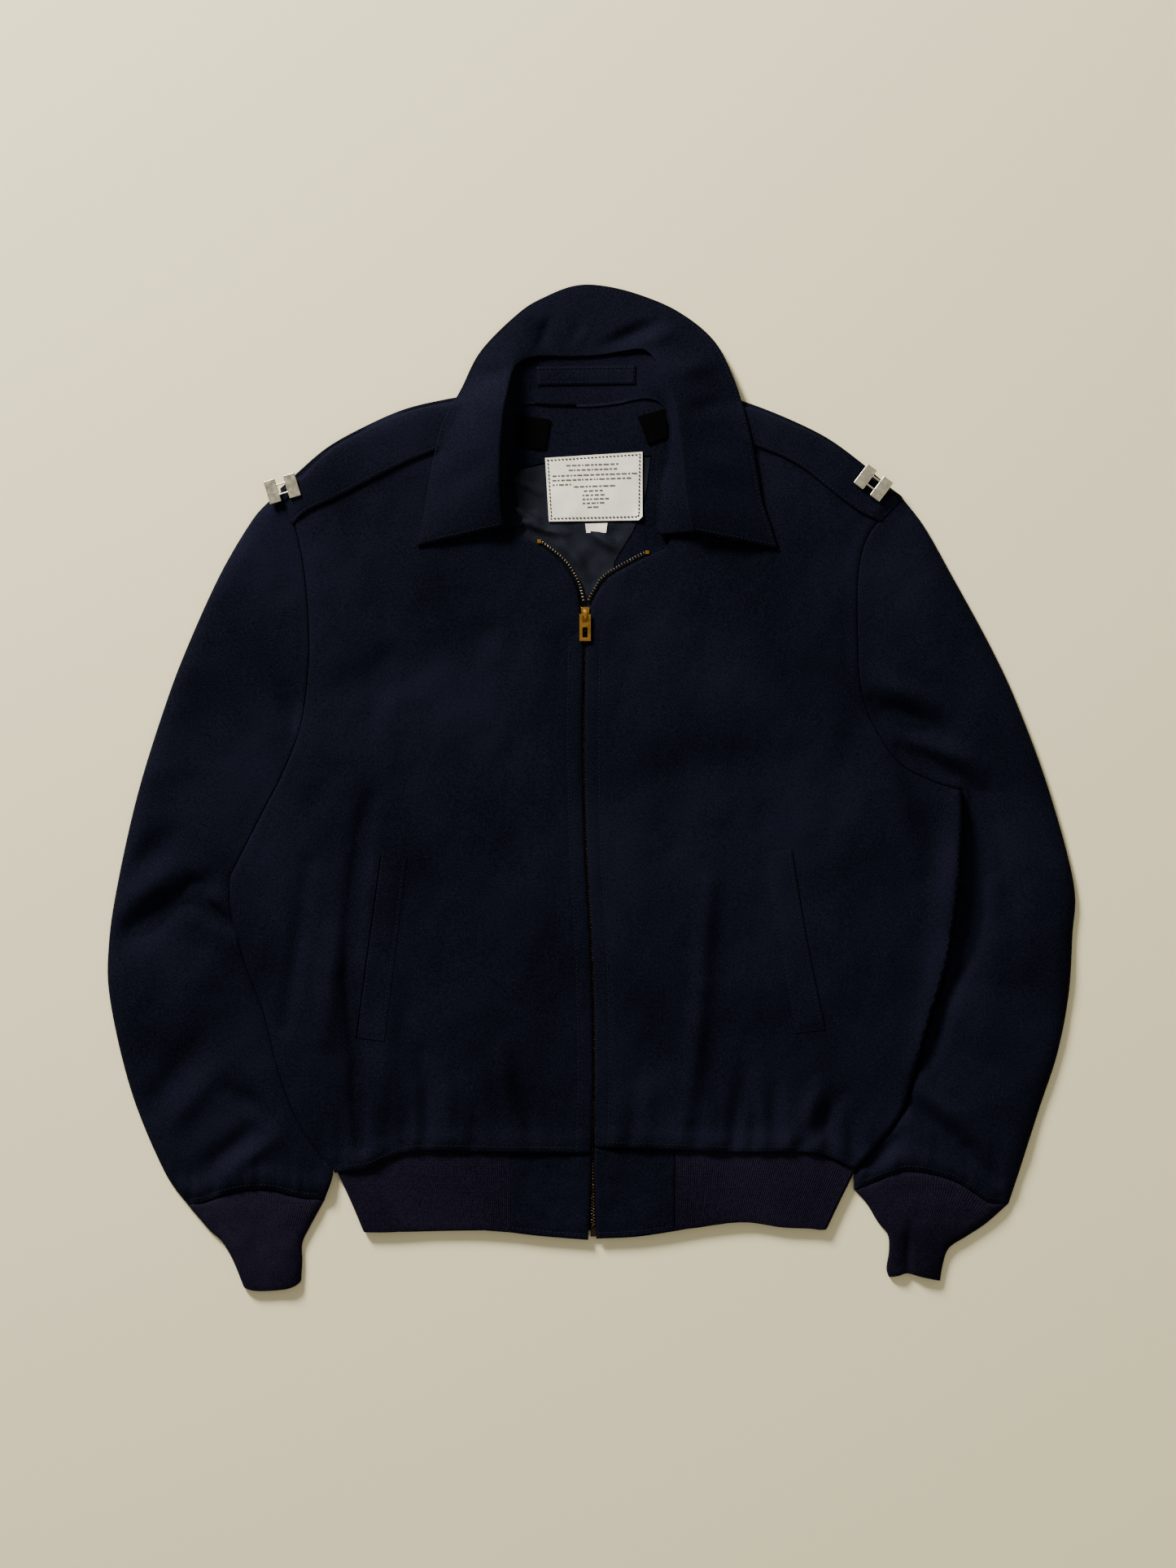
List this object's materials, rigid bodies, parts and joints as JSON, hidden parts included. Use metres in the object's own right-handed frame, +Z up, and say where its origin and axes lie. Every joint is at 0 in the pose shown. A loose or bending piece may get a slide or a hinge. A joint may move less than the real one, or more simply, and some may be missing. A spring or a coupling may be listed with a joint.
{
  "type": "bomber jacket",
  "caption": "Dark bomber jacket laid flat and zipped to the chest, with a deep collar, shoulder straps, welt pockets and knitted waist and cuffs.",
  "frame": {"origin": "centre of the jacket's outline, on the surface it lies on", "axes": "+Z up from that surface, +Y from the hem to the collar, +X to the wearer's left"},
  "size_m": [0.7735, 0.8045, 0.0239],
  "materials": {
    "gabardine": "fine twill weave, matte, very dark navy",
    "rib_knit": "fine vertical rib knit, matte, dark purplish navy",
    "satin_lining": "thin satin, soft sheen, grey navy",
    "label_cloth": "off-white woven label",
    "hook_fastener": "black hook and loop pile",
    "zip_tape": "woven zip tape, dark navy",
    "brass": "polished, lightly worn",
    "dark_brass": "oxidised zip teeth",
    "silver": "satin silver plate"
  },
  "bodies": {
    "jacket": {"back_panel": "gabardine", "front_right": "gabardine", "front_left": "gabardine", "sleeve_right": "gabardine", "sleeve_left": "gabardine", "cuff_right": "rib_knit", "cuff_left": "rib_knit", "waist_rib": "rib_knit", "waist_tab_right": "gabardine", "waist_tab_left": "gabardine", "collar": "gabardine", "collar_stand": "gabardine", "hanger_loop": "gabardine", "neck_facing": "gabardine", "lining_back": "satin_lining", "patch_right": "hook_fastener", "patch_left": "hook_fastener", "label": "label_cloth", "size_tab": "label_cloth", "zip_chain": "zip_tape", "zip_edge_right": "dark_brass", "zip_edge_left": "dark_brass", "zip_stop_right": "dark_brass", "zip_stop_left": "dark_brass", "zip_box": "dark_brass", "zip_slider": "brass", "pocket_welt_right": "gabardine", "pocket_welt_left": "gabardine", "shoulder_strap_right": "gabardine", "shoulder_strap_left": "gabardine", "badge_right": "silver", "badge_left": "silver"},
    "pull_tab": {"zip_pull": "brass"}
  },
  "joints": [
    {"name": "pull_tab_swing", "type": "hinge", "parent": "jacket", "child": "pull_tab", "pos_m": [-0.0049, 0.1382, 0.0084], "axis": [-1, 0, 0], "range_deg": [0, 168]}
  ]
}
